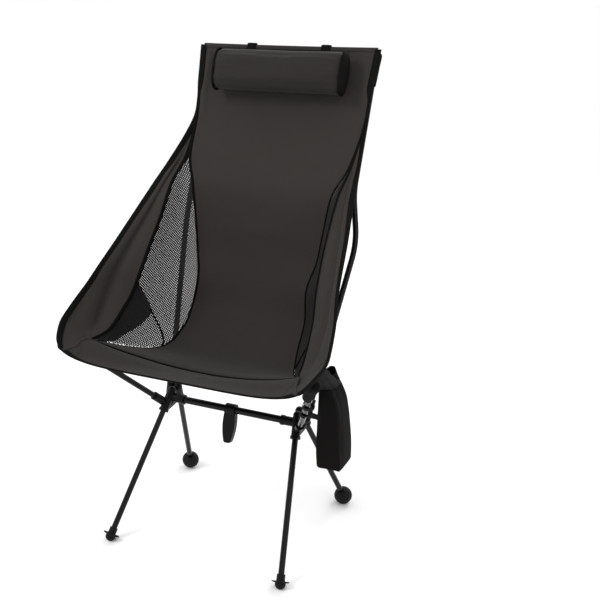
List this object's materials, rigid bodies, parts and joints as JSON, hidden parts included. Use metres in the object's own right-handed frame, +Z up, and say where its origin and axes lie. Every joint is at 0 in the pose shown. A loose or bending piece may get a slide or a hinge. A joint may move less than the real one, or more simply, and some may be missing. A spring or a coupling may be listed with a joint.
{
  "type": "folding camp chair",
  "caption": "High-back folding camp chair: shock-corded tube legs and poles in moulded hubs carry a cloth sling seat with mesh sides, a head pillow and a side pocket.",
  "frame": {"origin": "centre of the overall box in plan, on the floor under the feet", "axes": "+Z up, the chair faces -Y, +X is the sitter's left"},
  "size_m": [0.548, 0.5417, 0.9684],
  "materials": {
    "tube": "black anodised, satin gloss",
    "moulding": "fine-textured black nylon",
    "foot": "matt black rubber",
    "shock_cord": "braided elastic cord",
    "cloth": "tight plain-weave polyester, charcoal",
    "mesh": "open knitted mesh, black",
    "tape": "black woven binding and webbing",
    "pillow_cloth": "plain-weave polyester, charcoal"
  },
  "bodies": {
    "frame": {"crossbar": "tube", "seat_pole_left": "tube", "seat_pole_right": "tube", "back_pole_lower_left": "tube", "back_pole_lower_right": "tube", "back_pole_upper_left": "tube", "back_pole_upper_right": "tube", "ferrule_left": "tube", "ferrule_right": "tube", "hub_left": "moulding", "hub_right": "moulding", "seat_pole_tip_left": "moulding", "seat_pole_tip_right": "moulding", "back_pole_tip_left": "moulding", "back_pole_tip_right": "moulding", "seat_pole_cord_left": "shock_cord", "seat_pole_cord_right": "shock_cord", "back_pole_cord_left": "shock_cord", "back_pole_cord_right": "shock_cord", "sling_panel": "cloth", "side_panel_left": "cloth", "side_panel_right": "cloth", "front_sleeve_left": "cloth", "front_sleeve_right": "cloth", "top_sleeve_left": "cloth", "top_sleeve_right": "cloth", "mesh_window_left": "mesh", "mesh_window_right": "mesh", "edge_tape_left": "tape", "edge_tape_right": "tape", "front_hem": "tape", "top_hem": "tape", "pillow_strap_left": "tape", "pillow_strap_right": "tape"},
    "pillow": {"pillow": "pillow_cloth", "pillow_cap_left": "pillow_cloth", "pillow_cap_right": "pillow_cloth"},
    "pocket": {"side_pocket": "cloth", "pocket_rim": "tape", "pocket_loop_front": "tape", "pocket_loop_rear": "tape"},
    "clip": {"pole_clip": "moulding"},
    "front_leg_left": {"front_leg_left": "tube", "front_foot_left": "foot", "front_leg_cord_left": "shock_cord"},
    "rear_leg_left": {"rear_leg_left": "tube", "rear_foot_left": "foot", "ball_cover_left": "foot", "rear_leg_cord_left": "shock_cord"},
    "front_leg_right": {"front_leg_right": "tube", "front_foot_right": "foot", "front_leg_cord_right": "shock_cord"},
    "rear_leg_right": {"rear_leg_right": "tube", "rear_foot_right": "foot", "ball_cover_right": "foot", "rear_leg_cord_right": "shock_cord"}
  },
  "joints": [
    {"name": "front_leg_left_pull", "type": "slide", "parent": "frame", "child": "front_leg_left", "axis": [0.1439, -0.5725, -0.8072], "range_m": [0, 0.03], "stiffness_N_per_m": 60, "springref_m": -0.1},
    {"name": "rear_leg_left_pull", "type": "slide", "parent": "frame", "child": "rear_leg_left", "axis": [0.1731, 0.4825, -0.8586], "range_m": [0, 0.028], "stiffness_N_per_m": 60, "springref_m": -0.1},
    {"name": "front_leg_right_pull", "type": "slide", "parent": "frame", "child": "front_leg_right", "axis": [-0.1439, -0.5725, -0.8072], "range_m": [0, 0.03], "stiffness_N_per_m": 60, "springref_m": -0.1},
    {"name": "rear_leg_right_pull", "type": "slide", "parent": "frame", "child": "rear_leg_right", "axis": [-0.1731, 0.4825, -0.8586], "range_m": [0, 0.028], "stiffness_N_per_m": 60, "springref_m": -0.1},
    {"name": "clip_swivel", "type": "hinge", "parent": "frame", "child": "clip", "pos_m": [-0.002, -0.0193, 0.258], "axis": [1, 0, 0], "continuous": true},
    {"name": "pillow_slide", "type": "slide", "parent": "frame", "child": "pillow", "axis": [0, -0.3315, -0.9435], "range_m": [0, 0.06]},
    {"name": "pocket_swing", "type": "hinge", "parent": "frame", "child": "pocket", "pos_m": [0.21402, -0.14879, 0.3634], "axis": [0.3508, -0.6707, 0.6535], "range_deg": [0, 20]}
  ]
}
